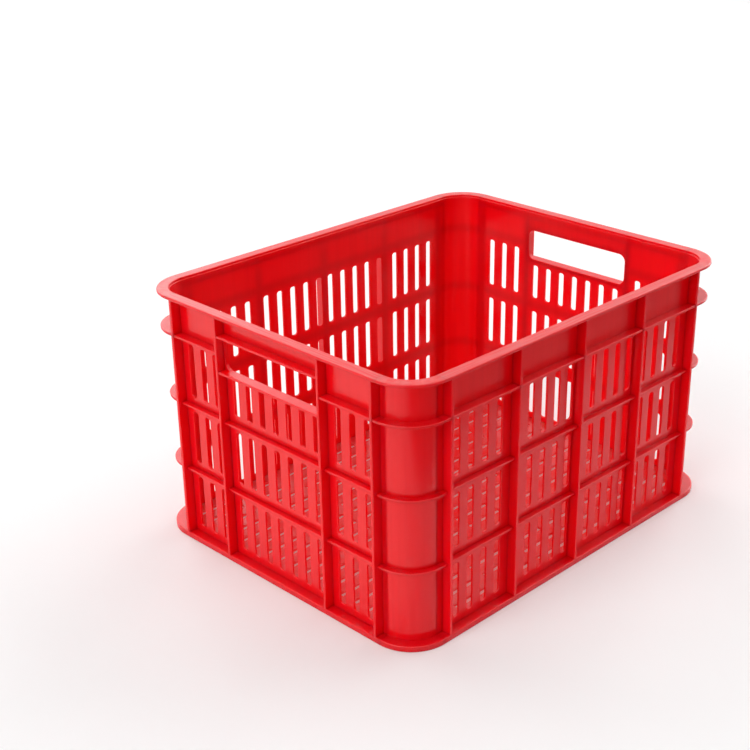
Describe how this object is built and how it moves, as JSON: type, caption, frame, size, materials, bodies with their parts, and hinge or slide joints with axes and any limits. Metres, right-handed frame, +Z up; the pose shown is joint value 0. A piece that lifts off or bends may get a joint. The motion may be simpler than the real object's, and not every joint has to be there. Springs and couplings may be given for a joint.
{
  "type": "harvest crate",
  "caption": "Open red plastic harvest crate with slotted, ribbed walls, rounded corners, a flat rim and a hand hole in each end wall.",
  "frame": {"origin": "centre of the base at ground level", "axes": "+X along the longer side, +Y along the shorter side, +Z up out of the open mouth"},
  "size_m": [0.531, 0.423, 0.3],
  "materials": {
    "crate_plastic": "smooth moulded plastic with a soft gloss"
  },
  "bodies": {
    "root": {"base_front": "crate_plastic", "base_left": "crate_plastic", "base_rear": "crate_plastic", "base_right": "crate_plastic", "corner_front_left": "crate_plastic", "corner_front_right": "crate_plastic", "corner_rear_left": "crate_plastic", "corner_rear_right": "crate_plastic", "floor_grid": "crate_plastic", "front_panel": "crate_plastic", "front_ring_lower": "crate_plastic", "front_ring_middle": "crate_plastic", "front_ring_upper": "crate_plastic", "front_upright_1": "crate_plastic", "front_upright_2": "crate_plastic", "front_upright_3": "crate_plastic", "front_upright_4": "crate_plastic", "front_upright_5": "crate_plastic", "left_hand_hole_frame": "crate_plastic", "left_panel_band": "crate_plastic", "left_panel_front_bay": "crate_plastic", "left_panel_lower": "crate_plastic", "left_panel_rear_bay": "crate_plastic", "left_ring_lower": "crate_plastic", "left_ring_middle": "crate_plastic", "left_ring_upper_front_bay": "crate_plastic", "left_ring_upper_rear_bay": "crate_plastic", "left_upright_1": "crate_plastic", "left_upright_2": "crate_plastic", "left_upright_3": "crate_plastic", "left_upright_4": "crate_plastic", "rear_panel": "crate_plastic", "rear_ring_lower": "crate_plastic", "rear_ring_middle": "crate_plastic", "rear_ring_upper": "crate_plastic", "rear_upright_1": "crate_plastic", "rear_upright_2": "crate_plastic", "rear_upright_3": "crate_plastic", "rear_upright_4": "crate_plastic", "rear_upright_5": "crate_plastic", "right_hand_hole_frame": "crate_plastic", "right_panel_band": "crate_plastic", "right_panel_front_bay": "crate_plastic", "right_panel_lower": "crate_plastic", "right_panel_rear_bay": "crate_plastic", "right_ring_lower": "crate_plastic", "right_ring_middle": "crate_plastic", "right_ring_upper_front_bay": "crate_plastic", "right_ring_upper_rear_bay": "crate_plastic", "right_upright_1": "crate_plastic", "right_upright_2": "crate_plastic", "right_upright_3": "crate_plastic", "right_upright_4": "crate_plastic", "rim_front": "crate_plastic", "rim_left": "crate_plastic", "rim_rear": "crate_plastic", "rim_right": "crate_plastic"}
  },
  "joints": []
}
